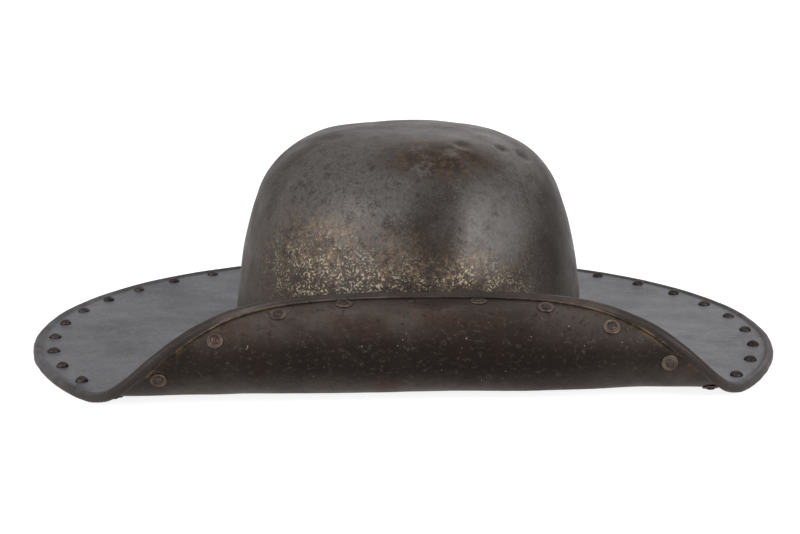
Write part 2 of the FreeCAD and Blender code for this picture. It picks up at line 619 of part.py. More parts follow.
def ruled(first, second):
    # Face of straight lines between two edges; the curled ones share their knots, so it is set out
    # from their poles and can't twist. Two true arcs on one level bound a flat face.
    if not isinstance(first.Curve, Part.BSplineCurve):
        if abs(first.Curve.Center.z - second.Curve.Center.z) > 1e-6:
            return Part.makeRuledSurface(first, second)
        ends = [Part.makeLine(getattr(first, end)().Point, getattr(second, end)().Point)
                for end in ("firstVertex", "lastVertex")]
        return Part.Face(Part.Wire([first, ends[1], second, ends[0]]))
    curve = first.Curve
    surface = Part.BSplineSurface()
    surface.buildFromPolesMultsKnots(
        [list(pair) for pair in zip(curve.getPoles(), second.Curve.getPoles())],
        curve.getMultiplicities(), [2, 2], curve.getKnots(), [0.0, 1.0], False, False, curve.Degree, 1)
    return surface.toShape()


def plate_faces(lift):
    # level part with the oval opening, and curled part ruled straight across from side to side
    right, left, rear = border_edges(roll_foot, lift)
    seam = Part.makeLine(rear.lastVertex().Point, rear.firstVertex().Point)
    level = size_of["sheet_level"] + lift
    centre = FreeCAD.Vector(size_of["skull_side_shift"], size_of["skull_back_shift"], level)
    opening = Part.Ellipse(
        centre + FreeCAD.Vector(0, opening_radius * size_of["skull_oval"], 0),
        centre + FreeCAD.Vector(opening_radius, 0, 0), centre).toShape()
    outline = Part.Face(Part.Wire([rear, seam]))
    return outline.cut(Part.Face(Part.Wire([opening]))).Faces[0], ruled(left, right), opening


over_roll = (rise_line(half_sheet, 2)
             + roll_line(size_of["roll_radius"], math.pi / 2, -math.pi / 2 + flat_half_angle, 5)[1:])
under_roll = (roll_line(size_of["roll_radius"], -math.pi / 2 - flat_half_angle, -math.pi, 1)[:1]
              + lap_line(-half_sheet, 3)[1:])
lap_end = [(size_of["hem_width"], lap_lift - half_sheet), (size_of["hem_width"], lap_lift + half_sheet)]
bore = (lap_line(half_sheet, 3)[::-1]
        + roll_line(size_of["roll_bore"], -math.pi / 2 - flat_half_angle, math.pi / 2, 6)[1:]
        + rise_line(-half_sheet, 2)[::-1][1:])
border_lines = [border_edges(*place) for place in over_roll + under_roll + lap_end + bore]
border_faces = [ruled(first, second)
                for outer, inner in zip(border_lines, border_lines[1:])
                for first, second in zip(outer, inner)]
upper_level, upper_curled, upper_opening = plate_faces(half_sheet)
lower_level, lower_curled, lower_opening = plate_faces(-half_sheet)
opening_face = Part.makeRuledSurface(lower_opening, upper_opening)
brim_shell = Part.makeShell(
    border_faces + [upper_level, upper_curled, lower_level, lower_curled, opening_face])
brim_shell.sewShape()
brim_solid = Part.makeSolid(brim_shell)
brim_blank = plain_group("BrimBlank", [brim_solid])


def angle_in_row(place):
    # border rivets by place: the -X side's end of the front row first, then on round
    front = size("front_rivet_angle") - count("front_place") * size("side_pitch")
    side_end = front + (count("side_rivets") - 1) * size("side_pitch")
    far_end = front - count("far_rivets") * size("far_pitch")
    back_pitch = (far_end + 360.0 - side_end) / (count("back_rivets") + 1)
    if place < count("side_rivets"):
        return front + place * size("side_pitch")
    if place < count("side_rivets") + count("back_rivets"):
        return side_end + (place - count("side_rivets") + 1) * back_pitch
    return far_end + (place - count("side_rivets") - count("back_rivets")) * size("far_pitch")


def set_on_sheet(solid, angle):
    # the solid's own zero goes to the middle of the sheet, its +Z off the upper face
    turn = math.radians(angle)
    radius = size_of["brim_radius"] - size_of["border_inset"]
    forward = -radius * math.sin(turn)
    lean = math.degrees(sheet_angle(forward))
    placed = solid.copy()
    placed.Placement = FreeCAD.Placement(
        on_sheet(radius * math.cos(turn), forward, 0),
        FreeCAD.Rotation(FreeCAD.Vector(1, 0, 0), -lean))
    return placed, forward


def dome(width, rise, seat, shares):
    # (radius, level) pairs down a domed head that stands on its seat; shares run from its top to its edge
    radius = (width ** 2 / 4 + rise ** 2) / (2 * rise)
    half_turn = math.atan2(width / 2, radius - rise)
    return [(radius * math.sin(half_turn * share),
             seat + radius * math.cos(half_turn * share) - radius + rise) for share in shares]


def rivet(head_width, head_rise, shank_width, tail_width, head_seat, tail_seat):
    # rivet on the Z axis: domed head above head_seat, hammered tail below tail_seat
    head = dome(head_width, head_rise, head_seat, (0.3, 0.68, 1.0))
    tail = [(radius, 2 * tail_seat - level)
            for radius, level in dome(tail_width, size_of["tail_rise"], tail_seat, (1.0, 0.5))]
    return flat_sided(head + [(shank_width / 2, head_seat), (shank_width / 2, tail_seat)] + tail)


def washer(width, hole_width, top):
    low = top - size_of["washer_sheet"]
    disc = flat_sided([(width / 2, top), (width / 2, low)])
    return disc.cut(flat_sided([(hole_width / 2, top + size_of["washer_sheet"]),
                                (hole_width / 2, low - size_of["washer_sheet"])]))


# Border rivets, washers and their holes. Heads stand on the upper face, clear of its curve.
border_rivet_solids = []
border_washer_solids = []
border_hole_pins = []
all_border_rivets = count("side_rivets") + count("back_rivets") + count("far_rivets")
border_hole_radius = size_of["rivet_shank"] / 2 + size_of["shank_play"]
for place in range(all_border_rivets):
    angle = angle_in_row(place)
    pin = flat_sided([(border_hole_radius, 4 * size_of["brim_sheet"]),
                      (border_hole_radius, -4 * size_of["brim_sheet"])])
    placed_pin, forward = set_on_sheet(pin, angle)
    border_hole_pins.append(placed_pin)
    head_clear = size_of["rivet_head"] ** 2 / 8 * sheet_bend(forward) / (1 - half_sheet * sheet_bend(forward))
    tail_seat = -half_sheet
    if place != count("front_place"):
        tail_seat -= size_of["washer_sheet"]
        ring = washer(size_of["washer_width"], 2 * border_hole_radius, -half_sheet)
        border_washer_solids.append(set_on_sheet(ring, angle)[0])
    border_rivet_solids.append(set_on_sheet(
        rivet(size_of["rivet_head"], size_of["rivet_rise"], size_of["rivet_shank"],
              size_of["rivet_tail"], half_sheet + head_clear, tail_seat), angle)[0])
border_rivets = plain_group("border_rivets", border_rivet_solids)
border_washers = plain_group("border_washers", border_washer_solids)

# Brim: the blank with its border holes and its foot holes
border_holes = plain_group("BorderHoles", border_hole_pins + foot_holes.Shape.Solids)
brim = pierced("brim", brim_blank, border_holes)

# Foot rivets and the washers that keep their tails off the leather
foot_rivet_solids = []
foot_washer_solids = []
foot_ring = size_of["skull_half_width"] + size_of["foot_width"] - size_of["foot_inset"]
for number in range(count("foot_rivets")):
    x, y = on_oval(foot_ring, (number + 0.5) * 360.0 / count("foot_rivets"))
    spot = FreeCAD.Vector(x, y, 0)
    one = rivet(size_of["foot_head"], size_of["foot_rise"], size_of["foot_shank"], size_of["foot_tail"],
                foot_top_level, foot_low_level)
    foot_rivet_solids.append(one.translated(spot))
    foot_washer_solids.append(
        washer(size_of["foot_washer"], 2 * foot_hole_radius, size_of["band_level"]).translated(spot))
foot_rivets = plain_group("foot_rivets", foot_rivet_solids)
foot_washers = plain_group("foot_washers", foot_washer_solids)

# Border wire: iron, closed in the roll all round
wire_places = [(size_of["roll_radius"] - size_of["wire_diameter"] / 2 * math.cos(math.radians(turn)),
                -size_of["roll_drop"] + size_of["wire_diameter"] / 2 * math.sin(math.radians(turn)))
               for turn in range(0, 361, 45)]
wire_lines = [border_edges(*place) for place in wire_places]
wire_faces = [ruled(first, second)
              for outer, inner in zip(wire_lines, wire_lines[1:])
              for first, second in zip(outer, inner)]
wire_shell = Part.makeShell(wire_faces)
wire_shell.sewShape()
border_wire = plain_group("border_wire", [Part.makeSolid(wire_shell)])

doc.recompute()

# Check every object, then write each piece to its file
for item in doc.Objects:
    if "Invalid" in item.State or "Error" in item.State:
        raise RuntimeError("%s did not recompute: %s" % (item.Label, item.State))
os.makedirs("parts", exist_ok=True)
for piece in (skull, brim, border_wire, border_rivets, border_washers, foot_rivets, foot_washers,
              lining_band, lining_cap, lining_thread):
    if piece.Shape.isNull() or not piece.Shape.isValid():
        raise RuntimeError("%s has no valid shape" % piece.Label)
    piece.Shape.exportStep("parts/%s.step" % piece.Label)
    print(piece.Label, len(piece.Shape.Solids), "solids", round(piece.Shape.Volume), "mm3")
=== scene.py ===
import math
import random

import bmesh
import bpy
from mathutils import Matrix, Vector, noise


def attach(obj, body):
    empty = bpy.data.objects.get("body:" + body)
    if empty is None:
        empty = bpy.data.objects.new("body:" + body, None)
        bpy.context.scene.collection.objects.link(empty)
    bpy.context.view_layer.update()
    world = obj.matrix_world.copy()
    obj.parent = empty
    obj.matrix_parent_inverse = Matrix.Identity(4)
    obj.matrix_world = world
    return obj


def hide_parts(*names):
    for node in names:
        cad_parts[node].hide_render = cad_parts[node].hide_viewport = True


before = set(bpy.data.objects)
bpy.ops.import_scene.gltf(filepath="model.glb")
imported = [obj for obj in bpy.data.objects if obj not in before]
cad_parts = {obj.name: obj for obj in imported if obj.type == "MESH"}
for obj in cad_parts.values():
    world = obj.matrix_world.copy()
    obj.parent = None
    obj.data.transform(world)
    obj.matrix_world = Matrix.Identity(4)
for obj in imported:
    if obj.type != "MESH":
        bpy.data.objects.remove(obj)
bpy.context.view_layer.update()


# Brim: one round sheet of hammered iron. Its border is turned down and rolled under over an iron
# wire, and its front third is curled up and back over a bar until the underside faces forward.
# The upper face is scoured blue-grey, the underside keeps the brown skin of the forge.
BRIM_RADIUS = 0.220
BRIM_SHEET = 0.0012
SHEET_LEVEL = 0.0037685
ROLL_INSET = 0.0029
ROLL_DROP = 0.0010
ROLL_TOP = 0.0019
ROLL_FOOT = 0.0054
# the section of the border as (distance in from the brim's edge, height), up onto the roll and then
# from under the roll round the tucked hem and back to the sheet
ONTO_ROLL = [(0.0050, 0.00066), (0.0045, 0.00098), (0.0038, 0.00155)]
ROUND_HEM = [(0.0040, -0.00340), (0.0046, -0.00265), (0.0051, -0.00213), (0.0057, -0.00200),
             (0.0061, -0.00200), (0.0062, -0.00188), (0.0062, -0.00092), (0.0061, -0.00080),
             (0.0054, -0.00082), (0.0045, -0.00120), (0.0038, -0.00160), (0.0034, -0.00060),
             (0.0040, -0.00038), (0.0047, -0.00052)]
OPENING_HALF_WIDTH = 0.10469
SKULL_OVAL = 1.06
SKULL_SHIFT = Vector((0.003, 0.003, 0.0))
CURL_START = 0.1190
CURL_END = 0.2205
CURL_TURN = math.radians(185)
CURL_STEP = 0.0005
BRIM_STEPS = 420


def eased(value, low, high):
    share = min(max((value - low) / (high - low), 0.0), 1.0)
    return share * share * (3 - 2 * share)


def curl_angle(forward):
    return CURL_TURN * eased(forward, CURL_START, CURL_END)


curl_run = [(CURL_START, 0.0)]
while CURL_START + len(curl_run) * CURL_STEP < BRIM_RADIUS + 0.004:
    middle = curl_angle(CURL_START + (len(curl_run) - 0.5) * CURL_STEP)
    curl_run.append((curl_run[-1][0] + CURL_STEP * math.cos(middle),
                     curl_run[-1][1] + CURL_STEP * math.sin(middle)))


def plate_waves(x, y):
    # how far hand work leaves the flat of the sheet up or down, dying out at the border and the skull
    radius = math.hypot(x, y)
    calm = eased(radius, 0.118, 0.150) * (1 - eased(radius, 0.196, 0.212))
    slow = noise.noise(Vector((x * 17, y * 17, 3.1)))
    quick = noise.noise(Vector((x * 55, y * 55, 9.4)))
    return calm * (0.0011 * slow + 0.0004 * quick)


def on_curled_sheet(x, y, lift):
    # a place on the flat blank, taken to where the curled sheet puts it
    forward = -y
    lift += plate_waves(x, y)
    reach, rise = forward, 0.0
    if forward > CURL_START:
        steps = (forward - CURL_START) / CURL_STEP
        whole = min(int(steps), len(curl_run) - 2)
        part = steps - whole
        reach = curl_run[whole][0] * (1 - part) + curl_run[whole + 1][0] * part
        rise = curl_run[whole][1] * (1 - part) + curl_run[whole + 1][1] * part
    turn = curl_angle(forward)
    return Vector((x, -reach + lift * math.sin(turn), SHEET_LEVEL + rise + lift * math.cos(turn)))


def line_to(bm, start, x, z, cuts=0):
    origin, goal = start.co.copy(), Vector((x, 0, z))
    for step in range(cuts + 1):
        bmesh.ops.extrude_vert_indiv(bm, verts=[start])
        bm.verts.ensure_lookup_table()
        start = bm.verts[-1]
        start.co = origin.lerp(goal, (step + 1) / (cuts + 1))
    return start


def arc_to(bm, start, x, z, degrees, steps):
    # turns the section about a centre, positive from the front of the axis towards the outside
    made = bmesh.ops.spin(bm, geom=[start], cent=(x, 0, z), axis=(0, 1, 0),
                          angle=math.radians(degrees), steps=steps, use_duplicate=False)
    return [part for part in made["geom_last"] if isinstance(part, bmesh.types.BMVert)][0]


def closed(bm, end):
    # joins the end of a section to its first point
    bm.verts.ensure_lookup_table()
    bm.edges.new((end, bm.verts[0]))


def spun(bm, steps):
    # the whole section turned once round the upright axis, with its seam and poles closed
    bmesh.ops.spin(bm, geom=bm.verts[:] + bm.edges[:], cent=(0, 0, 0), axis=(0, 0, 1),
                   angle=2 * math.pi, steps=steps, use_merge=True, use_duplicate=False)
    bmesh.ops.remove_doubles(bm, verts=bm.verts[:], dist=0.00001)
    bmesh.ops.recalc_face_normals(bm, faces=bm.faces[:])


def finished(bm, name, *materials):
    mesh = bpy.data.meshes.new(name)
    bm.to_mesh(mesh)
    bm.free()
    for face in mesh.polygons:
        face.use_smooth = True
    for material in materials:
        mesh.materials.append(material)
    piece = bpy.data.objects.new(name, mesh)
    bpy.context.scene.collection.objects.link(piece)
    return piece


def add_node(tree, kind, wires=None, **settings):
    made = tree.nodes.new(kind)
    for word, value in settings.items():
        setattr(made, word, value)
    for word, value in (wires or {}).items():
        if isinstance(value, bpy.types.NodeSocket):
            tree.links.new(value, made.inputs[word])
        else:
            made.inputs[word].default_value = value
    return made


def grain(tree, place, scale, detail=6.0, roughness=0.55, stretch=(1, 1, 1), shift=(0, 0, 0)):
    moved = add_node(tree, "ShaderNodeMapping", {"Vector": place, "Scale": stretch, "Location": shift})
    return add_node(tree, "ShaderNodeTexNoise", {
        "Vector": moved.outputs[0], "Scale": scale, "Detail": detail, "Roughness": roughness}).outputs[0]


def between(tree, value, low, high, top=1.0):
    # 0 below low and top above high, for masks
    return add_node(tree, "ShaderNodeMapRange", {
        "Value": value, "From Min": low, "From Max": high, "To Min": 0.0, "To Max": top},
        interpolation_type="SMOOTHSTEP").outputs[0]


def times(tree, first, second):
    return add_node(tree, "ShaderNodeMath", {0: first, 1: second}, operation="MULTIPLY").outputs[0]


def plus(tree, first, second):
    return add_node(tree, "ShaderNodeMath", {0: first, 1: second}, operation="ADD").outputs[0]


def stained(tree, under, over, amount):
    # one colour over another by an amount from 0 to 1
    made = add_node(tree, "ShaderNodeMix", {"Factor": amount}, data_type="RGBA")
    for place, colour in ((6, under), (7, over)):
        if isinstance(colour, bpy.types.NodeSocket):
            tree.links.new(colour, made.inputs[place])
        else:
            made.inputs[place].default_value = (*colour, 1.0)
    return made.outputs[2]


def spot(tree, place, centre, size):
    # 1 in the middle of an egg-shaped region, falling to 0 at its edge
    moved = add_node(tree, "ShaderNodeMapping", {
        "Vector": place, "Scale": tuple(1 / reach for reach in size),
        "Location": tuple(-middle / reach for middle, reach in zip(centre, size))})
    away = add_node(tree, "ShaderNodeVectorMath", {0: moved.outputs[0]}, operation="LENGTH")
    return add_node(tree, "ShaderNodeMapRange", {
        "Value": away.outputs["Value"], "From Min": 1.0, "From Max": 0.25},
        interpolation_type="SMOOTHSTEP").outputs[0]


def uneven(tree, place, scale, detail, smoothest, roughest):
    # roughness that wanders between two values
    return add_node(tree, "ShaderNodeMapRange", {
        "Value": grain(tree, place, scale, detail), "From Min": 0.3, "From Max": 0.7,
        "To Min": smoothest, "To Max": roughest}).outputs[0]


def new_finish(name, colour_of, rough_of, height_of, metallic, bump, bump_depth):
    # one finish: its colour, roughness and relief are each worked out from the object's own coordinates;
    # the clear reflection that lies over the colour is held down, as on any old dull surface
    material = bpy.data.materials.new(name)
    material.use_nodes = True
    tree = material.node_tree
    shader = tree.nodes["Principled BSDF"]
    shader.inputs["Metallic"].default_value = metallic
    shader.inputs["Specular IOR Level"].default_value = 0.25
    shader.inputs["Specular Tint"].default_value = (0.42, 0.40, 0.39, 1.0)
    place = add_node(tree, "ShaderNodeTexCoord").outputs["Object"]
    tree.links.new(colour_of(tree, place), shader.inputs["Base Color"])
    tree.links.new(rough_of(tree, place), shader.inputs["Roughness"])
    relief = add_node(tree, "ShaderNodeBump", {
        "Height": height_of(tree, place), "Strength": bump, "Distance": bump_depth})
    tree.links.new(relief.outputs[0], shader.inputs["Normal"])
    return material


def brim_upper_colour(tree, place):
    colour = stained(tree, (0.122, 0.125, 0.138), (0.086, 0.087, 0.096),
                     between(tree, grain(tree, place, 14, 7), 0.42, 0.66))
    colour = stained(tree, colour, (0.165, 0.167, 0.180),
                     between(tree, grain(tree, place, 90, 7, 0.75, (1, 2.5, 1)), 0.54, 0.72, 0.55))
    colour = stained(tree, colour, (0.185, 0.187, 0.198),
                     between(tree, grain(tree, place, 420, 6, 0.8, shift=(9, 2, 4)), 0.50, 0.62, 0.6))
    colour = stained(tree, colour, (0.040, 0.034, 0.031),
                     between(tree, grain(tree, place, 420, 6, 0.8), 0.55, 0.64, 0.7))
    colour = stained(tree, colour, (0.070, 0.052, 0.043),
                     between(tree, grain(tree, place, 28, 7, 0.72, shift=(4, 1, 2)), 0.58, 0.70, 0.6))
    return colour


def brim_under_colour(tree, place):
    colour = stained(tree, (0.078, 0.062, 0.055), (0.036, 0.027, 0.023),
                     between(tree, grain(tree, place, 18, 8, 0.62), 0.42, 0.62))
    colour = stained(tree, colour, (0.068, 0.034, 0.024),
                     between(tree, grain(tree, place, 30, 8, 0.7, (1, 1, 2.2), (2, 5, 1)), 0.51, 0.68, 0.65))
    # painted shade: the hollow of the curl, below its top, is darkened where the underside faces down, away
    # from the lamps
    curl = spot(tree, place, (0.0, -0.150, 0.028), (0.300, 0.05, 0.024))
    colour = stained(tree, colour, (0.008, 0.005, 0.004), times(tree, curl, 0.93))
    colour = stained(tree, colour, (0.090, 0.075, 0.065),
                     between(tree, grain(tree, place, 300, 7, 0.80, (1, 1, 1.4)), 0.52, 0.66, 0.40))
    colour = stained(tree, colour, (0.013, 0.009, 0.008),
                     between(tree, grain(tree, place, 330, 5, 0.7, shift=(3, 3, 8)), 0.54, 0.64, 0.55))
    return stained(tree, colour, (0.34, 0.30, 0.25),
                   between(tree, grain(tree, place, 620, 2, 0.5), 0.735, 0.77, 0.7))


def brim_colour(tree, place):
    under = add_node(tree, "ShaderNodeAttribute", attribute_name="underside").outputs["Fac"]
    border = add_node(tree, "ShaderNodeAttribute", attribute_name="border").outputs["Fac"]
    both = stained(tree, brim_upper_colour(tree, place), brim_under_colour(tree, place), under)
    # painted shade: a dark band along the inside of the rolled border, where the raised roll shades the plate,
    # broken up by noise
    border_shade_breakup = between(tree, grain(tree, place, 70, 6, 0.7, shift=(1, 7, 3)), 0.30, 0.70)
    dark = stained(tree, both, (0.034, 0.029, 0.027),
                   times(tree, border, plus(tree, times(tree, border_shade_breakup, 0.45), 0.50)))
    # the hem's raw edge carries an ochre crust, only away from the middle of the front
    across = add_node(tree, "ShaderNodeSeparateXYZ", {0: place}).outputs["X"]
    sideways = add_node(tree, "ShaderNodeMath", {0: across}, operation="ABSOLUTE").outputs[0]
    hem = add_node(tree, "ShaderNodeAttribute", attribute_name="hem_edge").outputs["Fac"]
    ochre = times(tree, hem, between(tree, sideways, 0.050, 0.100))
    crust = between(tree, grain(tree, place, 120, 7, 0.75), 0.44, 0.62, 0.62)
    return stained(tree, dark, (0.200, 0.135, 0.062), times(tree, ochre, crust))


def brim_roughness(tree, place):
    return uneven(tree, place, 60, 6, 0.38, 0.56)


def brim_relief(tree, place):
    blows = add_node(tree, "ShaderNodeTexVoronoi", {"Vector": place, "Scale": 75.0, "Smoothness": 0.9},
                     feature="SMOOTH_F1").outputs["Distance"]
    pits = between(tree, grain(tree, place, 330, 4, 0.6), 0.60, 0.72)
    skin = grain(tree, place, 700, 3, 0.6)
    height = plus(tree, times(tree, blows, 0.55), times(tree, pits, -0.22))
    return plus(tree, height, times(tree, skin, 0.12))


bm = bmesh.new()
roll_centre = BRIM_RADIUS - ROLL_INSET
flat_edge = BRIM_RADIUS - ROLL_FOOT
end = bm.verts.new((OPENING_HALF_WIDTH, 0, BRIM_SHEET / 2))
end = line_to(bm, end, flat_edge, BRIM_SHEET / 2, 33)
for inset, height in ONTO_ROLL:
    end = line_to(bm, end, BRIM_RADIUS - inset, height)
end = line_to(bm, end, roll_centre, ROLL_TOP)
end = arc_to(bm, end, roll_centre, -ROLL_DROP, 198.66, 15)
for inset, height in ROUND_HEM:
    end = line_to(bm, end, BRIM_RADIUS - inset, height)
end = line_to(bm, end, flat_edge - 0.0003, -BRIM_SHEET / 2)
end = line_to(bm, end, OPENING_HALF_WIDTH, -BRIM_SHEET / 2, 33)
closed(bm, end)
spun(bm, BRIM_STEPS)
underside = bm.verts.layers.float.new("underside")
border = bm.verts.layers.float.new("border")
hem_edge = bm.verts.layers.float.new("hem_edge")
for vert in bm.verts:
    radius = math.hypot(vert.co.x, vert.co.y)
    lift = vert.co.z
    turn = math.atan2(vert.co.y, vert.co.x)
    vert[underside] = 1 - eased(lift, -0.0004, 0.0004)
    vert[border] = eased(radius, BRIM_RADIUS - 0.0062, BRIM_RADIUS - 0.0050)
    vert[hem_edge] = (1 - eased(abs(radius - BRIM_RADIUS + 0.0063), 0.0002, 0.0013)) * vert[underside]
    share = min(max((radius - OPENING_HALF_WIDTH) / (flat_edge - OPENING_HALF_WIDTH), 0), 1)
    if share < 1:
        # the flat of the sheet runs from the oval opening out to the round border
        rim = Vector((SKULL_SHIFT.x + OPENING_HALF_WIDTH * math.cos(turn),
                      SKULL_SHIFT.y + OPENING_HALF_WIDTH * SKULL_OVAL * math.sin(turn)))
        far = rim.lerp(Vector((flat_edge * math.cos(turn), flat_edge * math.sin(turn))), share)
    else:
        # the border was rolled by hand, so its edge wanders by half a millimetre
        wobble = 0.0006 * noise.noise(Vector((math.cos(turn) * 5, math.sin(turn) * 5, 1.7)))
        wobble += 0.00035 * noise.noise(Vector((math.cos(turn) * 21, math.sin(turn) * 21, 6.2)))
        wide = radius + (wobble - 0.0004) * eased(radius, 0.19, 0.216)
        far = Vector((wide * math.cos(turn), wide * math.sin(turn)))
    # the roll is hammered flat where the helmet rests on it
    lowest = -SHEET_LEVEL
    if lift < -0.0005 and radius > BRIM_RADIUS - 0.0030:
        lowest += 0.00002
    vert.co = on_curled_sheet(far.x, far.y, max(lift, lowest))
bmesh.ops.recalc_face_normals(bm, faces=bm.faces[:])
brim = finished(bm, "brim_curled", new_finish(
    "hammered_brim", brim_colour, brim_roughness, brim_relief, 0.45, 0.40, 0.0010))
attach(brim, "root")
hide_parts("brim")


# Border wire: drawn iron wire, closed in the roll all round, where it stiffens the edge. It isn't
# seen: the roll covers it, and it follows the same curl at the front. It is drawn at 2 mm, a little
# thin, so that the uneven roll covers it everywhere.
WIRE_RADIUS = 0.0010
WIRE_LEVEL = -0.0013
WIRE_INSET = 0.0028


def wire_colour(tree, place):
    return stained(tree, (0.10, 0.09, 0.085), (0.05, 0.04, 0.035),
                   between(tree, grain(tree, place, 200), 0.4, 0.7))


def wire_roughness(tree, place):
    return between(tree, grain(tree, place, 90), 0.2, 0.8, 0.6)


def wire_relief(tree, place):
    return grain(tree, place, 900)


bm = bmesh.new()
wire_centre = BRIM_RADIUS - WIRE_INSET
end = bm.verts.new((wire_centre + WIRE_RADIUS, 0, WIRE_LEVEL))
end = arc_to(bm, end, wire_centre, WIRE_LEVEL, 330, 11)
closed(bm, end)
spun(bm, BRIM_STEPS)
for vert in bm.verts:
    vert.co = on_curled_sheet(vert.co.x, vert.co.y, vert.co.z)
wire = finished(bm, "border_wire_drawn", new_finish(
    "drawn_wire", wire_colour, wire_roughness, wire_relief, 0.7, 0.3, 0.0002))
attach(wire, "root")
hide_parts("border_wire")


# Skull: one sheet of iron raised into a tall oval bowl over a stake, its crown a little flattened
# and dented, its lower edge turned out into a narrow foot that lies on the brim.
# Dark from the forge, with lighter flecks where the skin has flaked off low on the front.
SKULL_SEAT = 0.0043685
SKULL_SHEET = 0.0015
FOOT_EDGE = 0.1157
# the foot's bend, and the side, shoulder and crown arcs above the wall: centres and turns
BEND_CENTRE, BEND_TURN = (0.107692, 0.0045), 83.3
BOWL_ARCS = [((-0.070618, 0.022433), 15.28), ((0.036023, 0.065475), 58.42), ((0.0, -0.1475), 9.60)]
# where a blow or a fall has left its mark: place on the outside, reach and depth
SKULL_DENTS = [
    ((0.0265, -0.0533, 0.1184), 0.0070, 0.0013),
    ((0.0496, -0.0414, 0.1156), 0.0060, 0.0017),
    ((0.0634, -0.0338, 0.1104), 0.0070, 0.0021),
    ((0.0201, -0.0619, 0.1162), 0.0070, 0.0008),
    ((0.0298, -0.0655, 0.1121), 0.0080, 0.0010),
    ((0.0180, -0.0740, 0.1095), 0.0080, 0.0009),
    ((0.0118, -0.0796, 0.1059), 0.0070, 0.0007),
    ((-0.030, -0.050, 0.1185), 0.020, 0.0009),
    ((0.060, 0.050, 0.112), 0.013, 0.0011),
    ((-0.066, 0.030, 0.110), 0.015, 0.0010),
    ((0.000, 0.095, 0.080), 0.016, 0.0010),
]


def up_the_bowl(bm, end, steps):
    for (centre, turn), count in zip(BOWL_ARCS, steps):
        end = arc_to(bm, end, *centre, -turn, count)
    return end


def down_the_bowl(bm, end, steps):
    for (centre, turn), count in zip(BOWL_ARCS[::-1], steps):
        end = arc_to(bm, end, *centre, turn, count)
    return end


bm = bmesh.new()
end = bm.verts.new((FOOT_EDGE, 0, 0.0))
end = line_to(bm, end, FOOT_EDGE + 0.0001, 0.0004)
end = line_to(bm, end, FOOT_EDGE, 0.0013)
end = line_to(bm, end, FOOT_EDGE - 0.0003, SKULL_SHEET)
end = line_to(bm, end, BEND_CENTRE[0], SKULL_SHEET, 3)
end = arc_to(bm, end, *BEND_CENTRE, BEND_TURN, 5)
end = line_to(bm, end, 0.100207, 0.0425, 12)
end = up_the_bowl(bm, end, (20, 48, 28))
end.co.x = 0.0
end = bm.verts.new((0.0, 0, 0.124))
end = down_the_bowl(bm, end, (9, 12, 6))
end = line_to(bm, end, 0.103229, 0.003975, 4)
end = arc_to(bm, end, *BEND_CENTRE, -BEND_TURN, 5)
closed(bm, end)
spun(bm, 260)
bmesh.ops.scale(bm, vec=(1, SKULL_OVAL, 1), verts=bm.verts[:])
for vert in bm.verts:
    calm = eased(vert.co.z, 0.006, 0.030)
    slow = noise.noise(Vector(vert.co) * 26)
    quick = noise.noise(Vector(vert.co) * 75 + Vector((5, 1, 2)))
    shove = calm * (0.0007 * slow + 0.0003 * quick)
    spread = Vector((vert.co.x, vert.co.y / SKULL_OVAL, max(vert.co.z - 0.045, 0) * 1.1))
    for place, reach, depth in SKULL_DENTS:
        away = (vert.co - Vector(place)).length
        shove -= depth * (1 - eased(away, 0.15 * reach, reach))
    if spread.length > 0.001:
        vert.co += spread.normalized() * shove
    # the wearer's left side stands out a millimetre further
    vert.co.x += 0.0010 * eased(vert.co.x, 0.02, 0.09) * eased(vert.co.z, 0.004, 0.03)
    vert.co += SKULL_SHIFT + Vector((0, 0, SKULL_SEAT))


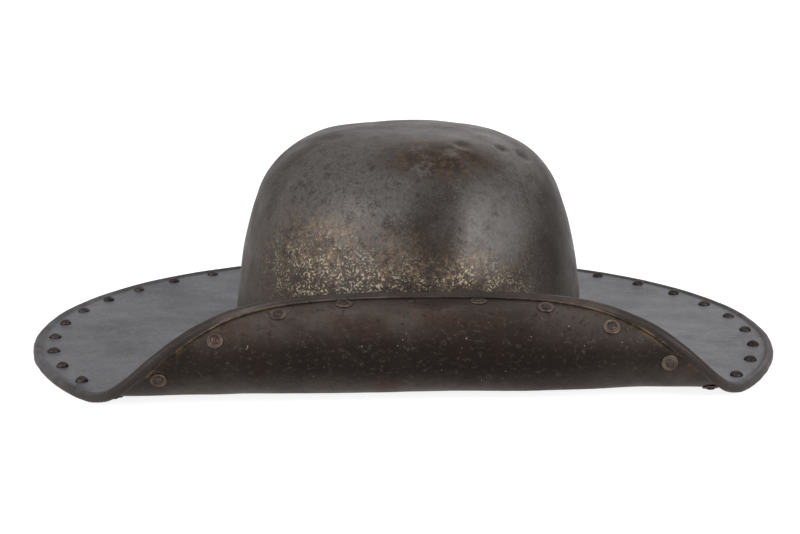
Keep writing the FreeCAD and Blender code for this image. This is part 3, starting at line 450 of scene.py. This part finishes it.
def skull_colour(tree, place):
    colour = stained(tree, (0.078, 0.072, 0.069), (0.036, 0.029, 0.025),
                     between(tree, grain(tree, place, 11, 8, 0.66), 0.44, 0.62))
    colour = stained(tree, colour, (0.100, 0.097, 0.098),
                     between(tree, grain(tree, place, 24, 9, 0.75, shift=(3, 2, 7)), 0.51, 0.64, 0.6))
    # brown low down on the front and on the wearer's right, where the skin is thin
    low = spot(tree, place, (-0.020, -0.06, 0.015), (0.160, 0.10, 0.082))
    mottle = between(tree, grain(tree, place, 38, 9, 0.78, shift=(8, 3, 1)), 0.38, 0.56)
    colour = stained(tree, colour, (0.066, 0.042, 0.029), times(tree, low, times(tree, mottle, 0.9)))
    # fine dark and light speckle all over
    colour = stained(tree, colour, (0.024, 0.017, 0.014),
                     between(tree, grain(tree, place, 150, 8, 0.78, shift=(1, 4, 2)), 0.50, 0.62, 0.65))
    colour = stained(tree, colour, (0.125, 0.114, 0.104),
                     between(tree, grain(tree, place, 700, 4, 0.75, shift=(6, 2, 3)), 0.52, 0.62, 0.6))
    colour = stained(tree, colour, (0.030, 0.023, 0.020),
                     between(tree, grain(tree, place, 560, 4, 0.75, shift=(4, 8, 3)), 0.53, 0.62, 0.55))
    # scorched patch on the front of the crown, with rust showing through
    crown = spot(tree, place, (0.016, -0.064, 0.1185), (0.050, 0.040, 0.020))
    scorch = times(tree, crown, between(tree, grain(tree, place, 55, 9, 0.76), 0.40, 0.50))
    colour = stained(tree, colour, (0.026, 0.016, 0.010), times(tree, scorch, 0.9))
    rust = times(tree, crown, between(tree, grain(tree, place, 260, 8, 0.80, shift=(2, 9, 5)), 0.48, 0.60))
    colour = stained(tree, colour, (0.100, 0.062, 0.038), times(tree, rust, 0.55))
    # tan patches in a slanting band low on the front, on darker ground; the ground is partly the iron's own
    # darker colour and partly painted shadow of the curled brim
    band = plus(tree, spot(tree, place, (-0.058, -0.075, 0.074), (0.052, 0.07, 0.030)),
                plus(tree, spot(tree, place, (-0.018, -0.092, 0.068), (0.060, 0.07, 0.022)),
                     spot(tree, place, (0.030, -0.096, 0.061), (0.055, 0.06, 0.018))))
    tan = times(tree, between(tree, grain(tree, place, 300, 7, 0.80, shift=(1, 1, 4)), 0.47, 0.58),
                between(tree, grain(tree, place, 70, 8, 0.78), 0.40, 0.54))
    # painted shadow of the curled brim on the low front, mixed with darker iron between the patches
    ground = spot(tree, place, (-0.010, -0.100, 0.046), (0.110, 0.09, 0.034))
    colour = stained(tree, colour, (0.020, 0.015, 0.013), times(tree, ground, 0.55))
    colour = stained(tree, colour, (0.135, 0.092, 0.060), times(tree, band, times(tree, tan, 0.68)))
    # millimetre cream flecks where the skin has flaked
    region = plus(tree, spot(tree, place, (-0.055, -0.080, 0.056), (0.058, 0.08, 0.036)),
                  spot(tree, place, (0.010, -0.100, 0.050), (0.085, 0.07, 0.026)))
    fine = between(tree, grain(tree, place, 760, 4, 0.70), 0.535, 0.575)
    group = between(tree, grain(tree, place, 95, 8, 0.80, (1, 1, 1.3)), 0.44, 0.54)
    colour = stained(tree, colour, (0.330, 0.280, 0.200),
                     times(tree, region, times(tree, fine, times(tree, group, 0.9))))
    # brown at the wearer's right side, partly painted shade along that edge; a painted highlight on the left
    # of the front, where the right lamp shines
    # partly painted shade where this side turns from the lamps, partly brown skin
    colour = stained(tree, colour, (0.036, 0.025, 0.019),
                     times(tree, spot(tree, place, (-0.100, -0.030, 0.050), (0.036, 0.09, 0.080)), 0.60))
    # painted highlight of the right lamp on the front
    colour = stained(tree, colour, (0.140, 0.133, 0.128),
                     times(tree, spot(tree, place, (0.044, -0.088, 0.084), (0.030, 0.05, 0.036)),
                           between(tree, grain(tree, place, 60, 8, 0.78, shift=(5, 5, 2)), 0.30, 0.62, 0.75)))
    # nearly black in the shallow fold of the front and on the wearer's left: painted dark reflection of the
    # gaps between the lamps, partly dark patina
    dark = plus(tree, spot(tree, place, (0.012, -0.10, 0.084), (0.024, 0.06, 0.040)),
                spot(tree, place, (0.084, -0.046, 0.058), (0.030, 0.06, 0.075)))
    return stained(tree, colour, (0.016, 0.012, 0.010), times(tree, dark, 0.68))


def skull_roughness(tree, place):
    return uneven(tree, place, 45, 6, 0.36, 0.56)


def skull_relief(tree, place):
    pits = between(tree, grain(tree, place, 260, 4, 0.6), 0.58, 0.72)
    skin = grain(tree, place, 620, 3, 0.6)
    broad = grain(tree, place, 60, 4, 0.5)
    height = plus(tree, times(tree, pits, -0.35), times(tree, skin, 0.18))
    return plus(tree, height, times(tree, broad, 0.6))


skull = finished(bm, "skull_raised", new_finish(
    "forged_skull", skull_colour, skull_roughness, skull_relief, 0.40, 0.45, 0.0010))
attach(skull, "root")
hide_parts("skull")


# Border rivets: forged iron rivets set from the upper face, 12 mm in from the border, their heads
# domed with a snap and their tails hammered over a washer below. The front one has no washer.
RIVET_RING = 0.208
WASHER_SHEET = 0.0007
# directions round the brim in degrees: the front row either side of the front rivet, the row on the
# wearer's right, set a little closer, and the back row in what is left
FRONT_PLACE = 6
FRONT_TURN = 268.7
front_row = [FRONT_TURN + (place - FRONT_PLACE) * 9.73 for place in range(21)]
far_row = [front_row[0] - place * 9.31 for place in range(9, 0, -1)]
back_gap = (far_row[0] + 360 - front_row[-1]) / 8
back_row = [front_row[-1] + back_gap * place for place in range(1, 8)]
rivet_turns = front_row + back_row + far_row
hand = random.Random(17)


def button(places, steps):
    # small turned form from (radius, height) places, top to bottom, as a mesh of its own
    made = bmesh.new()
    verts = [made.verts.new((radius, 0, height)) for radius, height in places]
    for upper, lower in zip(verts, verts[1:]):
        made.edges.new((upper, lower))
    spun(made, steps)
    mesh = bpy.data.meshes.new("button")
    made.to_mesh(mesh)
    made.free()
    return mesh


def set_button(bm, mesh, matrix):
    copy = mesh.copy()
    copy.transform(matrix)
    bm.from_mesh(copy)
    bpy.data.meshes.remove(copy)


def sheet_matrix(turn_degrees, lift):
    # upright on the curled sheet at one rivet's place
    turn = math.radians(turn_degrees)
    x, y = RIVET_RING * math.cos(turn), RIVET_RING * math.sin(turn)
    lean = Matrix.Rotation(-curl_angle(-y), 4, "X")
    return Matrix.Translation(on_curled_sheet(x, y, lift)) @ lean


def hand_set(most_tilt, most_size):
    # a little of the hand in a rivet's tilt and size
    tilt = Matrix.Rotation(math.radians(hand.uniform(-most_tilt, most_tilt)), 4, "X")
    tilt = tilt @ Matrix.Rotation(math.radians(hand.uniform(-most_tilt, most_tilt)), 4, "Y")
    wide = 1 + hand.uniform(-most_size, most_size)
    deep = 1 + hand.uniform(-most_size, most_size)
    turn = Matrix.Rotation(hand.uniform(0, 6.28), 4, "Z")
    return tilt @ turn @ Matrix.Diagonal((wide, deep, 1 + hand.uniform(-most_size, most_size), 1))


# sections as (radius, height): the domed head with its shank, the hammered tail
HEAD_PLACES = [(0.0, 0.0026), (0.0011, 0.00250), (0.0021, 0.0021), (0.0029, 0.0015), (0.0034, 0.0008),
               (0.0036, 0.0003), (0.0035, -0.0002), (0.0014, -0.0002), (0.0014, -0.0010), (0.0, -0.0010)]
TAIL_PLACES = [(0.0, 0.0009), (0.0014, 0.0009), (0.0014, 0.0001), (0.0022, 0.0), (0.0023, -0.0003),
               (0.0019, -0.0007), (0.0012, -0.0009), (0.0, -0.00095)]
head = button(HEAD_PLACES, 22)
tail = button(TAIL_PLACES, 18)
bm = bmesh.new()
for place, turn in enumerate(rivet_turns):
    set_button(bm, head, sheet_matrix(turn, BRIM_SHEET / 2) @ hand_set(2.5, 0.07))
    below = BRIM_SHEET / 2 + (WASHER_SHEET if place != FRONT_PLACE else 0)
    set_button(bm, tail, sheet_matrix(turn, -below) @ hand_set(2.0, 0.10))
for vert in bm.verts:
    vert.co += 0.00016 * noise.noise_vector(Vector(vert.co) * 420)


def rivet_colour(tree, place):
    colour = stained(tree, (0.048, 0.041, 0.037), (0.019, 0.014, 0.012),
                     between(tree, grain(tree, place, 150, 5, 0.65), 0.40, 0.66))
    return stained(tree, colour, (0.066, 0.035, 0.022),
                   between(tree, grain(tree, place, 90, 5), 0.56, 0.72, 0.6))


def rivet_roughness(tree, place):
    return uneven(tree, place, 240, 5, 0.30, 0.50)


def rivet_relief(tree, place):
    return grain(tree, place, 480, 4)


worn_rivet = new_finish("worn_rivet", rivet_colour, rivet_roughness, rivet_relief, 0.65, 0.35, 0.0005)
border_rivets = finished(bm, "border_rivets_set", worn_rivet)
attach(border_rivets, "root")
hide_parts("border_rivets")


# Border washers: discs punched from scrap sheet, dished by the hammer, so that each shows a rim, a
# shallow groove and the tail in the middle. They keep the tails from pulling through the brim.
WASHER_PLACES = [(0.00146, 0.0), (0.0040, 0.0), (0.0045, -0.00012), (0.00452, -0.00045), (0.0042, -0.00070),
                 (0.0037, -0.00074), (0.0033, -0.00056), (0.0029, -0.00052), (0.0025, -0.00066),
                 (0.0022, -0.00070), (0.00146, -0.00070), (0.00146, 0.0)]
disc = button(WASHER_PLACES, 26)
bm = bmesh.new()
for place, turn in enumerate(rivet_turns):
    if place != FRONT_PLACE:
        set_button(bm, disc, sheet_matrix(turn, -BRIM_SHEET / 2) @ hand_set(0.6, 0.06))
for vert in bm.verts:
    vert.co += 0.00010 * noise.noise_vector(Vector(vert.co) * 300)


def washer_colour(tree, place):
    colour = stained(tree, (0.105, 0.075, 0.062), (0.050, 0.036, 0.030),
                     between(tree, grain(tree, place, 120, 5, 0.65), 0.40, 0.66))
    return stained(tree, colour, (0.155, 0.120, 0.105),
                   between(tree, grain(tree, place, 260, 5), 0.55, 0.75, 0.6))


brown_washer = new_finish("brown_washer", washer_colour, rivet_roughness, rivet_relief, 0.55, 0.35, 0.0004)
border_washers = finished(bm, "border_washers_set", brown_washer)
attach(border_washers, "root")
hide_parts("border_washers")


# Foot rivets: twenty smaller rivets that hold the skull's foot, the brim and the leather band
# together. Their heads stand on the foot, their tails are closed on washers against the leather.
FOOT_COUNT = 20
FOOT_RING = 0.1107
FOOT_TOP = SKULL_SEAT + SKULL_SHEET
LEATHER_UNDER = 0.0019685
# smaller than at the border, apart from the hole of the washer
foot_head = button([(radius * 0.91, height * 0.91) for radius, height in HEAD_PLACES], 22)
foot_tail = button([(radius * 0.95, height) for radius, height in TAIL_PLACES], 18)
foot_disc = button([(radius * 0.89 if radius > 0.002 else radius, height)
                    for radius, height in WASHER_PLACES], 24)
rivets = bmesh.new()
washers = bmesh.new()
for number in range(FOOT_COUNT):
    turn = math.radians((number + 0.5) * 360 / FOOT_COUNT)
    x = SKULL_SHIFT.x + FOOT_RING * math.cos(turn)
    y = SKULL_SHIFT.y + SKULL_OVAL * FOOT_RING * math.sin(turn)
    set_button(rivets, foot_head, Matrix.Translation((x, y, FOOT_TOP)) @ hand_set(2.5, 0.06))
    low = Matrix.Translation((x, y, LEATHER_UNDER - WASHER_SHEET))
    set_button(rivets, foot_tail, low @ hand_set(1.5, 0.08))
    set_button(washers, foot_disc, Matrix.Translation((x, y, LEATHER_UNDER)) @ hand_set(0.5, 0.04))
foot_rivets = finished(rivets, "foot_rivets_set", worn_rivet)
foot_washers = finished(washers, "foot_washers_set", brown_washer)
for piece, node, slot in ((foot_rivets, "foot_rivets", "rivet_iron"),
                          (foot_washers, "foot_washers", "washer_iron")):
    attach(piece, "root")
    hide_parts(node)


# Lining band: a strip of vegetable-tanned leather. Its foot lies under the brim and is held by the
# foot rivets; its upper part is turned up inside the skull, where the linen is sewn to it.
BAND_STEPS = 240
bm = bmesh.new()
end = bm.verts.new((0.1154, 0, 0.00308))
for x, z, cuts in ((0.1157, 0.00290, 0), (0.1157, 0.00225, 0), (0.1153, 0.00200, 0), (0.1034, 0.00200, 5),
                   (0.1024, 0.00245, 0), (0.1020, 0.00330, 0), (0.09925, 0.02960, 9), (0.09945, 0.03000, 0),
                   (0.10010, 0.03000, 0), (0.10040, 0.02960, 0), (0.10320, 0.00420, 9), (0.10360, 0.00312, 0)):
    end = line_to(bm, end, x, z, cuts)
closed(bm, end)
spun(bm, BAND_STEPS)
bmesh.ops.scale(bm, vec=(1, SKULL_OVAL, 1), verts=bm.verts[:])
for vert in bm.verts:
    # the upper part has gone wavy with wear and sags a little inwards
    turn = math.atan2(vert.co.y, vert.co.x)
    soft = eased(vert.co.z, 0.010, 0.028)
    ripple = 0.00045 * noise.noise(Vector((math.cos(turn) * 6, math.sin(turn) * 6, 4.4)))
    sideways = Vector((vert.co.x, vert.co.y, 0)).normalized()
    vert.co -= sideways * soft * (0.0003 + ripple * 0.6)
    vert.co.z += soft * 2.0 * ripple
    vert.co += SKULL_SHIFT


def leather_colour(tree, place):
    colour = stained(tree, (0.165, 0.080, 0.040), (0.085, 0.038, 0.020),
                     between(tree, grain(tree, place, 30, 7, 0.6), 0.38, 0.68))
    return stained(tree, colour, (0.26, 0.15, 0.085),
                   between(tree, grain(tree, place, 240, 5, 0.7), 0.56, 0.74, 0.6))


def leather_roughness(tree, place):
    return uneven(tree, place, 120, 5, 0.48, 0.72)


def leather_relief(tree, place):
    pores = add_node(tree, "ShaderNodeTexVoronoi", {"Vector": place, "Scale": 900.0}).outputs["Distance"]
    return plus(tree, times(tree, pores, 0.6), times(tree, grain(tree, place, 70, 6), 0.9))


band = finished(bm, "lining_band_leather", new_finish(
    "tanned_leather", leather_colour, leather_roughness, leather_relief, 0.0, 0.45, 0.0005))
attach(band, "root")
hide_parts("lining_band")


# Lining cap: two layers of unbleached linen with wadding between, quilted in upright channels that
# meet at the crown. It hangs inside the skull and keeps the iron off the head.
CHANNELS = 24
bm = bmesh.new()
end = bm.verts.new((0.0, 0, 0.12185))
end = down_the_bowl(bm, end, (8, 14, 9))
for x, z, cuts in ((0.10020, 0.0160, 6), (0.09990, 0.0139, 0), (0.09820, 0.0131, 0), (0.09480, 0.0131, 0),
                   (0.09290, 0.0139, 0), (0.09240, 0.0160, 0), (0.08907, 0.0412, 6)):
    end = line_to(bm, end, x, z, cuts)
end = up_the_bowl(bm, end, (9, 14, 8))
end.co.x = 0.0
spun(bm, CHANNELS * 10)
bmesh.ops.scale(bm, vec=(1, SKULL_OVAL, 1), verts=bm.verts[:])
for vert in bm.verts:
    # the inner layer is drawn in along the seams and puffs out between them, with small puckers
    turn = math.atan2(vert.co.y / SKULL_OVAL, vert.co.x)
    flat = Vector((vert.co.x, vert.co.y / SKULL_OVAL, 0))
    high = max(vert.co.z - 0.055, 0)
    inner = eased(0.0995 - Vector((flat.length, 0, high * 1.36)).length, 0.0015, 0.0045)
    puff = abs(math.sin(turn * CHANNELS / 2)) ** 0.55
    calm = eased(flat.length, 0.008, 0.034)
    crease = noise.noise(Vector((turn * 9, vert.co.z * 60, 2.0)))
    way = Vector((flat.x, flat.y, high * 1.4)).normalized()
    vert.co += way * inner * calm * (0.0019 - 0.0030 * puff + 0.0007 * crease * puff)
    vert.co += SKULL_SHIFT + Vector((0, 0, SKULL_SEAT))


def linen_colour(tree, place):
    colour = stained(tree, (0.48, 0.40, 0.28), (0.34, 0.26, 0.165),
                     between(tree, grain(tree, place, 22, 6, 0.6), 0.40, 0.68))
    return stained(tree, colour, (0.20, 0.145, 0.09),
                   between(tree, grain(tree, place, 55, 7, 0.7), 0.58, 0.76, 0.7))


def linen_roughness(tree, place):
    return between(tree, grain(tree, place, 200), -0.6, 0.6, 0.92)


def linen_relief(tree, place):
    threads = {"Vector": place, "Scale": 420.0, "Distortion": 1.5, "Detail": 2.0}
    weft = add_node(tree, "ShaderNodeTexWave", threads, bands_direction="Z").outputs["Fac"]
    warp = add_node(tree, "ShaderNodeTexWave", threads, bands_direction="DIAGONAL").outputs["Fac"]
    return plus(tree, times(tree, weft, 0.5), times(tree, warp, 0.5))


cap = finished(bm, "lining_cap_quilted", new_finish(
    "quilted_linen", linen_colour, linen_roughness, linen_relief, 0.0, 0.5, 0.0004))
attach(cap, "root")
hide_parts("lining_cap")


# Lining thread: waxed linen thread, in whip stitches over the cap's lower edge into the leather.
# Each stitch is one short slanting bar of thread; they run all round the rim.
STITCHES = 110
STITCH_LONG = 0.0052
STITCH_RADIUS = 0.00042
RIM_RING = 0.09905
RIM_LEVEL = 0.0136
bm = bmesh.new()
stitch = bmesh.new()
bmesh.ops.create_cone(stitch, cap_ends=True, segments=6, radius1=STITCH_RADIUS, radius2=STITCH_RADIUS,
                      depth=STITCH_LONG)
long_edges = [edge for edge in stitch.edges if abs(edge.verts[0].co.z - edge.verts[1].co.z) > 0.001]
bmesh.ops.subdivide_edges(stitch, edges=long_edges, cuts=3)
for vert in stitch.verts:
    vert.co.x -= 0.0010 * (1 - (vert.co.z / (STITCH_LONG / 2)) ** 2)
stitch_mesh = bpy.data.meshes.new("stitch")
stitch.to_mesh(stitch_mesh)
stitch.free()
for number in range(STITCHES):
    turn = 2 * math.pi * number / STITCHES
    place = Vector((RIM_RING * math.cos(turn), RIM_RING * SKULL_OVAL * math.sin(turn), RIM_LEVEL))
    place += SKULL_SHIFT + Vector((0, 0, SKULL_SEAT))
    facing = Matrix.Rotation(math.atan2(SKULL_OVAL * math.sin(turn), math.cos(turn)), 4, "Z")
    slant = Matrix.Rotation(math.radians(24 + hand.uniform(-5, 5)), 4, "X")
    set_button(bm, stitch_mesh, Matrix.Translation(place) @ facing @ slant)


def thread_colour(tree, place):
    return stained(tree, (0.58, 0.50, 0.36), (0.36, 0.28, 0.18),
                   between(tree, grain(tree, place, 180), 0.4, 0.7))


thread = finished(bm, "lining_thread_stitches", new_finish(
    "waxed_thread", thread_colour, leather_roughness, linen_relief, 0.0, 0.4, 0.0003))
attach(thread, "root")
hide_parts("lining_thread")


# Where it is shown: a plain white table and surround, two soft lamps in front to the left and right,
# a weak one behind, and the camera a little above the brim, about a metre in front. Camera, mirrored
# and transmitted rays see the surround white; the light that it throws on the helmet is much weaker.
def larger(tree, first, second):
    return add_node(tree, "ShaderNodeMath", {0: first, 1: second}, operation="MAXIMUM").outputs[0]


bm = bmesh.new()
bmesh.ops.create_grid(bm, x_segments=1, y_segments=1, size=60.0)
table = finished(bm, "table", bpy.data.materials.new("white_table"))
table_paint = table.data.materials[0]
table_paint.use_nodes = True
tree = table_paint.node_tree
paper = tree.nodes["Principled BSDF"]
paper.inputs["Base Color"].default_value = (0.42, 0.42, 0.42, 1)
paper.inputs["Roughness"].default_value = 0.9
rays = add_node(tree, "ShaderNodeLightPath")
seen = larger(tree, rays.outputs["Is Camera Ray"], rays.outputs["Is Glossy Ray"])
glow = add_node(tree, "ShaderNodeEmission", {"Color": (1, 1, 1, 1), "Strength": times(tree, seen, 0.86)})
both = add_node(tree, "ShaderNodeAddShader", {0: paper.outputs[0], 1: glow.outputs[0]})
tree.links.new(both.outputs[0], tree.nodes["Material Output"].inputs["Surface"])

world = bpy.data.worlds.new("white_surround")
world.use_nodes = True
tree = world.node_tree
sky = tree.nodes["Background"]
sky.inputs["Color"].default_value = (1, 1, 1, 1)
rays = add_node(tree, "ShaderNodeLightPath")
way = add_node(tree, "ShaderNodeSeparateXYZ", {0: add_node(tree, "ShaderNodeTexCoord").outputs["Generated"]})
above = between(tree, way.outputs["Z"], 0.0, 0.9, 0.42)
behind = between(tree, way.outputs["Y"], 0.0, 0.9, 0.24)
level = plus(tree, plus(tree, above, behind), 0.16)
seen = larger(tree, rays.outputs["Is Camera Ray"], rays.outputs["Is Transmission Ray"])
seen = larger(tree, seen, rays.outputs["Is Glossy Ray"])
tree.links.new(larger(tree, level, seen), sky.inputs["Strength"])
bpy.context.scene.world = world


def soft_lamp(name, place, target, wide, high, power):
    light = bpy.data.lights.new(name, "AREA")
    light.shape = "RECTANGLE"
    light.size = wide
    light.size_y = high
    light.energy = power
    lamp = bpy.data.objects.new(name, light)
    lamp.location = place
    lamp.rotation_euler = (Vector(target) - Vector(place)).to_track_quat("-Z", "Y").to_euler()
    bpy.context.scene.collection.objects.link(lamp)


# place, aim, width, height and power in watts
soft_lamp("left_softbox", (-1.10, -0.95, 0.70), (0, 0, 0.06), 1.3, 1.2, 18)
soft_lamp("right_softbox", (0.90, -1.15, 0.60), (0, 0, 0.06), 0.45, 0.55, 13)
soft_lamp("behind", (0.60, 1.30, 0.95), (0, 0, 0.05), 1.2, 0.7, 4)

camera = bpy.data.objects.new("camera", bpy.data.cameras.new("camera"))
camera.data.lens = 70.89
camera.data.sensor_width = 36.0
camera.data.clip_start = 0.05
# turned a little to the right, tilted down, and rolled a trace
heading = Matrix.Rotation(math.radians(-3.716), 4, "Z")
tilt = Matrix.Rotation(math.radians(90 - 11.69), 4, "X")
roll = Matrix.Rotation(math.radians(0.15), 4, "Z")
camera.rotation_euler = (heading @ tilt @ roll).to_euler()
camera.location = (-0.06234, -0.92876, 0.23568)
bpy.context.scene.collection.objects.link(camera)
bpy.context.scene.camera = camera
bpy.context.scene.view_settings.view_transform = "Standard"
